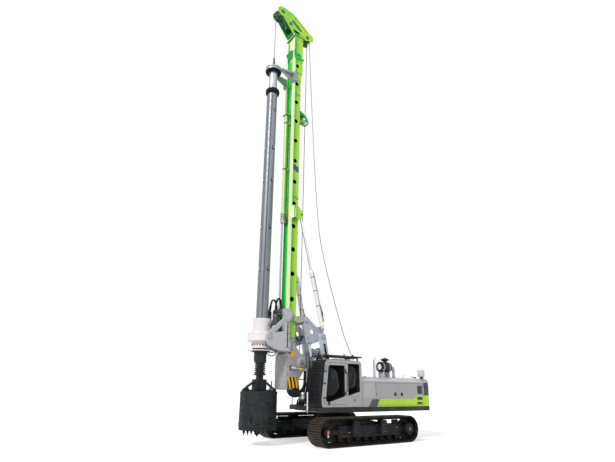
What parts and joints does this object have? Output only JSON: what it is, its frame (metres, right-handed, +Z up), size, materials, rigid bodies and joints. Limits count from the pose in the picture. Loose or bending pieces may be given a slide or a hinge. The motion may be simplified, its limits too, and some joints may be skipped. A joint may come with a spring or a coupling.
{
  "type": "rotary piling rig",
  "caption": "Crawler-mounted rotary piling rig with a parallelogram boom, tall mast, crowd-driven rotary drive, kelly bar and drilling bucket.",
  "frame": {"origin": "on the ground under the middle of the overall length and width", "axes": "+X forward, from the counterweight to the mast; +Y left, the cab side; +Z up along the mast"},
  "size_m": [7.95, 4.08, 19.17],
  "materials": {
    "grey_paint": "satin",
    "lime_paint": "gloss",
    "pale_paint": "satin",
    "dark_paint": "satin",
    "bare_steel": "worn",
    "chrome": "polished",
    "worn_steel": "worn",
    "track_steel": "worn",
    "wire_rope": "greased",
    "glass": "tinted",
    "seat_fabric": "woven"
  },
  "bodies": {
    "undercarriage": {"car_body": "dark_paint"},
    "left_crawler": {"left_track_frame": "dark_paint", "left_track": "track_steel"},
    "right_crawler": {"right_track_frame": "dark_paint", "right_track": "track_steel"},
    "upper": {"turntable": "dark_paint", "engine_housing": "grey_paint", "engine_block": "dark_paint", "counterweight": "dark_paint", "exhaust_pipe": "chrome", "air_cleaner": "dark_paint", "auxiliary_winch_stand": "dark_paint", "cab": "grey_paint", "rear_side_glass": "glass", "right_side_glass": "glass", "windscreen": "glass", "roof_guard": "dark_paint", "operator_seat": "seat_fabric", "operator_console": "dark_paint"},
    "cab_door": {"cab_door": "grey_paint", "door_glass": "glass"},
    "left_front_housing_door": {"left_front_housing_door": "grey_paint"},
    "left_rear_housing_door": {"left_rear_housing_door": "grey_paint"},
    "right_front_housing_door": {"right_front_housing_door": "grey_paint"},
    "right_rear_housing_door": {"right_rear_housing_door": "grey_paint"},
    "auxiliary_winch": {"auxiliary_winch_drum": "bare_steel"},
    "boom": {"boom": "grey_paint"},
    "parallel_links": {"left_parallel_link": "pale_paint", "right_parallel_link": "pale_paint"},
    "luffing_cylinders": {"left_luffing_cylinder": "dark_paint", "right_luffing_cylinder": "dark_paint"},
    "luffing_rods": {"left_luffing_rod": "chrome", "right_luffing_rod": "chrome"},
    "mast_support": {"mast_support": "grey_paint"},
    "mast_yoke": {"mast_yoke": "grey_paint"},
    "mast": {"mast": "lime_paint", "lower_mast": "grey_paint", "crowd_cylinder": "lime_paint", "mast_head": "lime_paint", "main_rope": "wire_rope", "kelly_rope": "wire_rope"},
    "mast_cylinders": {"left_mast_cylinder": "pale_paint", "right_mast_cylinder": "pale_paint"},
    "left_mast_rod": {"left_mast_rod": "chrome"},
    "right_mast_rod": {"right_mast_rod": "chrome"},
    "main_winch": {"main_winch_drum": "bare_steel"},
    "front_main_sheave": {"front_main_sheave": "dark_paint"},
    "front_auxiliary_sheave": {"front_auxiliary_sheave": "dark_paint"},
    "rear_main_sheave": {"rear_main_sheave": "dark_paint"},
    "rear_auxiliary_sheave": {"rear_auxiliary_sheave": "dark_paint"},
    "sledge": {"rotary_sledge": "pale_paint", "crowd_rod": "chrome", "rotary_drive": "pale_paint"},
    "kelly_guide": {"kelly_guide": "pale_paint"},
    "kelly": {"kelly_bar": "bare_steel", "kelly_stub": "dark_paint", "drilling_bucket": "worn_steel"},
    "bucket_gate": {"bucket_gate": "worn_steel"},
    "auxiliary_rope": {"auxiliary_rope": "wire_rope"}
  },
  "joints": [
    {"name": "left_track_extension", "type": "slide", "parent": "undercarriage", "child": "left_crawler", "axis": [0, -1, 0], "range_m": [0, 0.54]},
    {"name": "right_track_extension", "type": "slide", "parent": "undercarriage", "child": "right_crawler", "axis": [0, 1, 0], "range_m": [0, 0.54]},
    {"name": "slew", "type": "hinge", "parent": "undercarriage", "child": "upper", "pos_m": [-0.145, 0, 1], "axis": [0, 0, 1], "continuous": true},
    {"name": "cab_door_swing", "type": "hinge", "parent": "upper", "child": "cab_door", "pos_m": [1.62, 1.5, 2], "axis": [0, 0, -1], "range_deg": [0, 85]},
    {"name": "left_front_housing_door_swing", "type": "hinge", "parent": "upper", "child": "left_front_housing_door", "pos_m": [-0.877, 1.51, 1.65], "axis": [0, 0, -1], "range_deg": [0, 110]},
    {"name": "left_rear_housing_door_swing", "type": "hinge", "parent": "upper", "child": "left_rear_housing_door", "pos_m": [-3.533, 1.51, 1.65], "axis": [0, 0, 1], "range_deg": [0, 110]},
    {"name": "right_front_housing_door_swing", "type": "hinge", "parent": "upper", "child": "right_front_housing_door", "pos_m": [-0.877, -1.51, 1.65], "axis": [0, 0, 1], "range_deg": [0, 110]},
    {"name": "right_rear_housing_door_swing", "type": "hinge", "parent": "upper", "child": "right_rear_housing_door", "pos_m": [-3.533, -1.51, 1.65], "axis": [0, 0, -1], "range_deg": [0, 110]},
    {"name": "auxiliary_winch_spin", "type": "hinge", "parent": "upper", "child": "auxiliary_winch", "pos_m": [-1.325, 0, 1.72], "axis": [0, 1, 0], "continuous": true},
    {"name": "boom_luff", "type": "hinge", "parent": "upper", "child": "boom", "pos_m": [0.575, 0, 1.6], "axis": [0, 1, 0], "range_deg": [-10, 12], "deforming": ["auxiliary_rope"]},
    {"name": "parallel_link_swing", "type": "hinge", "parent": "upper", "child": "parallel_links", "pos_m": [1.175, 0, 1.36], "axis": [0, 1, 0], "range_deg": [-10.5, 12.5]},
    {"name": "luffing_cylinder_swing", "type": "hinge", "parent": "upper", "child": "luffing_cylinders", "pos_m": [1.155, 0, 1.34], "axis": [0, 1, 0], "range_deg": [-9, 11]},
    {"name": "luffing_rod_slide", "type": "slide", "parent": "luffing_cylinders", "child": "luffing_rods", "axis": [-0.1374, 0, 0.9905], "range_m": [-0.13, 0.11]},
    {"name": "mast_support_level", "type": "hinge", "parent": "boom", "child": "mast_support", "pos_m": [0.975, 0, 3.7], "axis": [0, 1, 0], "range_deg": [-12.5, 10.5]},
    {"name": "mast_side_tilt", "type": "hinge", "parent": "mast_support", "child": "mast_yoke", "pos_m": [2.055, 0, 4.27], "axis": [1, 0, 0], "range_deg": [-3, 3]},
    {"name": "mast_tilt", "type": "hinge", "parent": "mast_yoke", "child": "mast", "pos_m": [2.055, 0, 4.27], "axis": [0, 1, 0], "range_deg": [-15, 5], "deforming": ["auxiliary_rope"]},
    {"name": "mast_cylinder_swing", "type": "hinge", "parent": "mast_yoke", "child": "mast_cylinders", "pos_m": [0.985, 0, 3.975], "axis": [0, 1, 0], "range_deg": [-14, 5]},
    {"name": "left_mast_rod_slide", "type": "slide", "parent": "mast_cylinders", "child": "left_mast_rod", "axis": [0.2183, -0.0396, 0.9751], "range_m": [-0.28, 0.1]},
    {"name": "right_mast_rod_slide", "type": "slide", "parent": "mast_cylinders", "child": "right_mast_rod", "axis": [0.2183, 0.0396, 0.9751], "range_m": [-0.28, 0.1]},
    {"name": "main_winch_spin", "type": "hinge", "parent": "mast", "child": "main_winch", "pos_m": [1.815, 0, 2.72], "axis": [0, 1, 0], "continuous": true},
    {"name": "front_main_sheave_spin", "type": "hinge", "parent": "mast", "child": "front_main_sheave", "pos_m": [3.095, -0.09, 18.9], "axis": [0, 1, 0], "continuous": true},
    {"name": "front_auxiliary_sheave_spin", "type": "hinge", "parent": "mast", "child": "front_auxiliary_sheave", "pos_m": [2.635, 0.11, 18.42], "axis": [0, 1, 0], "continuous": true},
    {"name": "rear_main_sheave_spin", "type": "hinge", "parent": "mast", "child": "rear_main_sheave", "pos_m": [1.645, -0.09, 18.11], "axis": [0, 1, 0], "continuous": true},
    {"name": "rear_auxiliary_sheave_spin", "type": "hinge", "parent": "mast", "child": "rear_auxiliary_sheave", "pos_m": [1.645, 0.11, 18.11], "axis": [0, 1, 0], "continuous": true},
    {"name": "crowd", "type": "slide", "parent": "mast", "child": "sledge", "axis": [0, 0, 1], "range_m": [0, 3.3]},
    {"name": "kelly_hoist", "type": "slide", "parent": "mast", "child": "kelly_guide", "axis": [0, 0, 1], "range_m": [-6, 0.5]},
    {"name": "kelly_spin", "type": "hinge", "parent": "kelly_guide", "child": "kelly", "pos_m": [3.325, 0, 9], "axis": [0, 0, 1], "continuous": true},
    {"name": "bucket_gate_swing", "type": "hinge", "parent": "kelly", "child": "bucket_gate", "pos_m": [2.655, 0, 0.515], "axis": [0, 1, 0], "range_deg": [0, 70]},
    {"name": "auxiliary_rope_swing", "type": "hinge", "parent": "upper", "child": "auxiliary_rope", "pos_m": [-1.52, 0.11, 1.83], "axis": [0, 1, 0], "range_deg": [-13, 4.5]}
  ],
  "couplings": [
    {"joint": "parallel_link_swing", "follows": "boom_luff", "ratio": 1},
    {"joint": "mast_support_level", "follows": "boom_luff", "ratio": -1},
    {"joint": "luffing_cylinder_swing", "follows": "boom_luff", "ratio": 0.83},
    {"joint": "luffing_rod_slide", "follows": "boom_luff", "m_per_rad": -0.545},
    {"joint": "mast_cylinder_swing", "follows": "mast_tilt", "ratio": 0.91},
    {"joint": "left_mast_rod_slide", "follows": "mast_tilt", "m_per_rad": 1.03},
    {"joint": "right_mast_rod_slide", "follows": "mast_tilt", "m_per_rad": 1.03},
    {"joint": "auxiliary_rope_swing", "follows": "mast_tilt", "ratio": 0.83}
  ]
}
